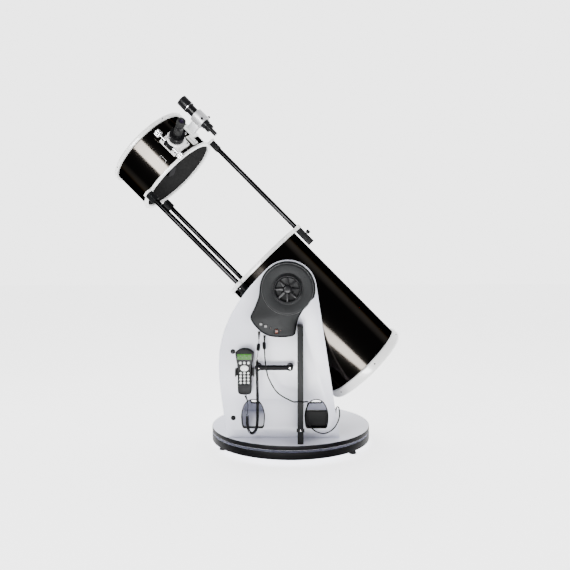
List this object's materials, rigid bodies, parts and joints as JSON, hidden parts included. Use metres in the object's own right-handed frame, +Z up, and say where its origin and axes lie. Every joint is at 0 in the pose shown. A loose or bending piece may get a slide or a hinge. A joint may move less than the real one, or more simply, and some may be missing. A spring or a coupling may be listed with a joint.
{
  "type": "dobsonian telescope",
  "caption": "Truss-rod Newtonian reflector on a motorised rocker box: tube tilts and turns, upper cage slides down on rods, focuser racks, hand controller keys press.",
  "frame": {"origin": "Floor point under the middle of the box of the telescope as stored, standing on its three feet.", "axes": "+Z up; +X along the floor away from the sky end of the tube; +Y away from the side that carries the drive housing and the hand controller."},
  "size_m": [1.176, 0.658, 1.4199],
  "materials": {
    "laminated_board": "white melamine laminate, satin, black edging",
    "black_board": "black laminate, satin",
    "white_casting": "white enamel, smooth",
    "black_tube": "high-gloss black metallic enamel",
    "black_rod": "black anodised, glossy",
    "black_plastic": "moulded, satin",
    "charcoal_plastic": "moulded, fine texture",
    "rubber": "matte",
    "cord_rubber": "smooth, satin",
    "steel": "turned",
    "brass": "machined",
    "mirror": "aluminised glass",
    "key": "translucent silicone, matte",
    "red_plastic": "moulded"
  },
  "bodies": {
    "base": {"ground_board": "laminated_board", "foot_near_right": "rubber", "foot_far": "rubber", "foot_near_left": "rubber", "azimuth_gear": "black_plastic", "azimuth_bearing": "steel", "pivot_bolt": "steel"},
    "rocker": {"rocker_board": "laminated_board", "near_side_panel": "laminated_board", "far_side_panel": "laminated_board", "front_panel": "laminated_board", "side_brace": "black_board", "carry_handle": "black_plastic", "altitude_drive_housing": "charcoal_plastic", "altitude_motor": "steel", "far_bearing_cover": "charcoal_plastic", "azimuth_drive": "black_plastic", "handset_case": "black_plastic", "handset_holder": "black_plastic", "handset_cord": "cord_rubber", "azimuth_cable": "cord_rubber"},
    "pinion": {"azimuth_pinion": "brass"},
    "switch": {"power_switch": "red_plastic"},
    "left_key": {"key_left": "key"},
    "middle_key": {"key_middle": "key"},
    "right_key": {"key_right": "key"},
    "pad": {"direction_pad": "key"},
    "numbers": {"number_keys": "key"},
    "tube": {"lower_tube": "black_tube", "bottom_ring": "white_casting", "truss_ring": "white_casting", "clamp_box_top": "black_plastic", "clamp_box_near": "black_plastic", "clamp_box_far": "black_plastic", "primary_mirror": "mirror", "mirror_cell": "black_plastic", "near_trunnion": "black_plastic", "far_trunnion": "black_plastic", "altitude_gear": "brass"},
    "clutch": {"altitude_clutch_knob": "black_plastic"},
    "clamp_top": {"clamp_knob_top": "black_plastic"},
    "clamp_near": {"clamp_knob_near": "black_plastic"},
    "clamp_far": {"clamp_knob_far": "black_plastic"},
    "collimation_1": {"collimation_knob_1": "black_plastic"},
    "collimation_2": {"collimation_knob_2": "black_plastic"},
    "collimation_3": {"collimation_knob_3": "black_plastic"},
    "cage": {"cage_tube": "black_tube", "cage_lower_ring": "white_casting", "cage_top_ring": "white_casting", "truss_rod_top": "black_rod", "truss_rod_near": "black_rod", "truss_rod_far": "black_rod", "spider": "black_plastic", "secondary_mirror": "mirror", "focuser_base": "white_casting", "finder_bracket": "white_casting", "finder_scope": "black_plastic"},
    "focus_carriage": {"drawtube": "black_plastic", "eyepiece": "black_plastic"},
    "focus_knobs": {"focus_shaft": "steel"}
  },
  "joints": [
    {"name": "azimuth_turn", "type": "hinge", "parent": "base", "child": "rocker", "pos_m": [0.13603, 0, 0.05], "axis": [0, 0, 1], "continuous": true},
    {"name": "azimuth_pinion_spin", "type": "hinge", "parent": "rocker", "child": "pinion", "pos_m": [0.23668, -0.14923, 0.05], "axis": [0, 0, 1], "continuous": true},
    {"name": "altitude_tilt", "type": "hinge", "parent": "rocker", "child": "tube", "pos_m": [0.12802, 0, 0.652], "axis": [0, 1, 0], "range_deg": [-45.3, 44.7]},
    {"name": "truss_collapse", "type": "slide", "parent": "tube", "child": "cage", "axis": [0.7034, 0, -0.7108], "range_m": [0, 0.45]},
    {"name": "clamp_turn_top", "type": "hinge", "parent": "tube", "child": "clamp_top", "pos_m": [0.20401, 0, 0.8759], "axis": [0.7108, 0, 0.7034], "range_deg": [0, 540]},
    {"name": "clamp_turn_near", "type": "hinge", "parent": "tube", "child": "clamp_near", "pos_m": [-0.04296, -0.16202, 0.6315], "axis": [-0.4569, -0.766, -0.4521], "range_deg": [0, 540]},
    {"name": "clamp_turn_far", "type": "hinge", "parent": "tube", "child": "clamp_far", "pos_m": [-0.04296, 0.16202, 0.6315], "axis": [-0.4569, 0.766, -0.4521], "range_deg": [0, 540]},
    {"name": "clutch_turn", "type": "hinge", "parent": "tube", "child": "clutch", "pos_m": [0.12802, -0.2743, 0.652], "axis": [0, -1, 0], "range_deg": [0, 270]},
    {"name": "collimation_turn_1", "type": "hinge", "parent": "tube", "child": "collimation_1", "pos_m": [0.48681, 0.09526, 0.36763], "axis": [0.7034, 0, -0.7108], "range_deg": [-360, 360]},
    {"name": "collimation_turn_2", "type": "hinge", "parent": "tube", "child": "collimation_2", "pos_m": [0.36953, 0, 0.25157], "axis": [0.7034, 0, -0.7108], "range_deg": [-360, 360]},
    {"name": "collimation_turn_3", "type": "hinge", "parent": "tube", "child": "collimation_3", "pos_m": [0.48681, -0.09526, 0.36763], "axis": [0.7034, 0, -0.7108], "range_deg": [-360, 360]},
    {"name": "focus_travel", "type": "slide", "parent": "cage", "child": "focus_carriage", "axis": [0.3446, -0.8746, 0.341], "range_m": [0, 0.038]},
    {"name": "focus_knob_turn", "type": "hinge", "parent": "cage", "child": "focus_knobs", "pos_m": [-0.32818, -0.19228, 1.20927], "axis": [0.7034, 0, -0.7108], "range_deg": [0, 273]},
    {"name": "power_switch_flip", "type": "hinge", "parent": "rocker", "child": "switch", "pos_m": [0.08603, -0.2608, 0.492], "axis": [1, 0, 0], "range_deg": [0, 20]},
    {"name": "key_left_press", "type": "slide", "parent": "rocker", "child": "left_key", "axis": [0, 1, 0], "range_m": [0, 0.001], "stiffness_N_per_m": 1200},
    {"name": "key_middle_press", "type": "slide", "parent": "rocker", "child": "middle_key", "axis": [0, 1, 0], "range_m": [0, 0.001], "stiffness_N_per_m": 1200},
    {"name": "key_right_press", "type": "slide", "parent": "rocker", "child": "right_key", "axis": [0, 1, 0], "range_m": [0, 0.001], "stiffness_N_per_m": 1200},
    {"name": "direction_pad_press", "type": "slide", "parent": "rocker", "child": "pad", "axis": [0, 1, 0], "range_m": [0, 0.001], "stiffness_N_per_m": 1200},
    {"name": "number_keys_press", "type": "slide", "parent": "rocker", "child": "numbers", "axis": [0, 1, 0], "range_m": [0, 0.001], "stiffness_N_per_m": 1200}
  ],
  "couplings": [
    {"joint": "azimuth_pinion_spin", "follows": "azimuth_turn", "ratio": 5.6667},
    {"joint": "focus_knob_turn", "follows": "focus_travel", "rad_per_m": 125}
  ]
}
